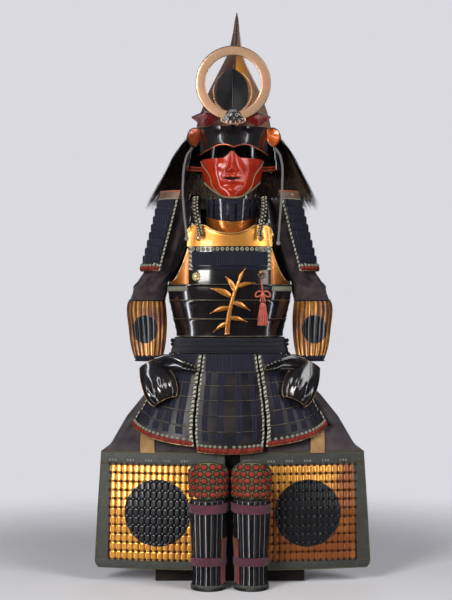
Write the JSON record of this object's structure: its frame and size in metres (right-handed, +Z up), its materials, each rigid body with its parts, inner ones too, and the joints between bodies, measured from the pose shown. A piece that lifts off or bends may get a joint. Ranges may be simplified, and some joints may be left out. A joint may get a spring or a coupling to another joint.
{
  "type": "samurai armour on storage chest and stand",
  "caption": "Suit of plate and laced armour with tall pointed helmet, ring crest, face mask, skirt, sleeves, thigh aprons and shin guards, displayed filled out over a storage chest with a stand",
  "frame": {"origin": "on the floor under the middle of the armour, on the chest's underside", "axes": "+Z up, the front of the armour faces -Y, the wearer's left is +X"},
  "size_m": [0.7916, 0.5875, 1.687],
  "materials": {
    "black_lacquer": "black lacquer, gloss",
    "copper_lacquer": "transparent red-brown lacquer over gold, gloss",
    "gold_lacquer": "gold lacquer, worn, semi-gloss",
    "pale_copper": "gilt copper, satin",
    "red_lacquer": "red lacquer, gloss",
    "navy_lacing": "flat braided silk lacing, matt",
    "navy_cloth": "crepe cloth, matt",
    "dark_cloth": "dark brocade, matt",
    "braid": "braided silk in gold, white and black",
    "coral_silk": "coral silk cord and fringe",
    "grey_cord": "grey silk cord",
    "hair": "dark brown animal hair",
    "printed_leather": "stencilled leather, matt",
    "stand_wood": "plain planed wood, satin"
  },
  "bodies": {
    "root": {"helmet_bowl": "copper_lacquer", "front_panel": "black_lacquer", "crest_ring": "pale_copper", "crest_mount": "pale_copper", "leaf_right": "red_lacquer", "leaf_left": "red_lacquer", "peak": "black_lacquer", "neck_guard": "black_lacquer", "turnback_right": "copper_lacquer", "turnback_left": "copper_lacquer", "hair_fall": "hair", "helmet_cord_left": "grey_cord", "helmet_cord_right": "grey_cord", "mask": "red_lacquer", "throat_guard": "navy_lacing", "chest_plate": "gold_lacquer", "front_lame_1": "navy_lacing", "front_lame_2": "black_lacquer", "front_lame_3": "black_lacquer", "front_lame_4": "black_lacquer", "side_plate_right": "gold_lacquer", "side_plate_left": "gold_lacquer", "back_lower": "black_lacquer", "back_upper": "black_lacquer", "toggle_right": "braid", "toggle_left": "braid", "rosette_left": "pale_copper", "rosette_right": "pale_copper", "tassel_cord": "coral_silk", "tassel": "coral_silk", "front_ornament": "gold_lacquer", "sash": "navy_cloth", "tasset_front": "black_lacquer", "tasset_front_left": "black_lacquer", "tasset_front_right": "black_lacquer", "tasset_side_left": "black_lacquer", "tasset_side_right": "black_lacquer", "tasset_back_left": "black_lacquer", "tasset_back_right": "black_lacquer", "sleeve_upper_right": "dark_cloth", "sleeve_lower_right": "dark_cloth", "sleeve_upper_left": "dark_cloth", "sleeve_lower_left": "dark_cloth", "forearm_guard_right": "gold_lacquer", "forearm_guard_left": "gold_lacquer", "hand_guard_right": "black_lacquer", "hand_guard_left": "black_lacquer", "shoulder_guard_right": "black_lacquer", "shoulder_guard_left": "black_lacquer", "thigh_cloth_right": "dark_cloth", "thigh_cloth_left": "dark_cloth", "thigh_scales_right": "gold_lacquer", "thigh_scales_left": "gold_lacquer", "shin_guard_right": "black_lacquer", "shin_guard_left": "black_lacquer", "knee_guard_right": "printed_leather", "knee_guard_left": "printed_leather", "chest_box": "black_lacquer", "chest_lid": "black_lacquer", "stand_frame": "stand_wood"}
  },
  "joints": []
}
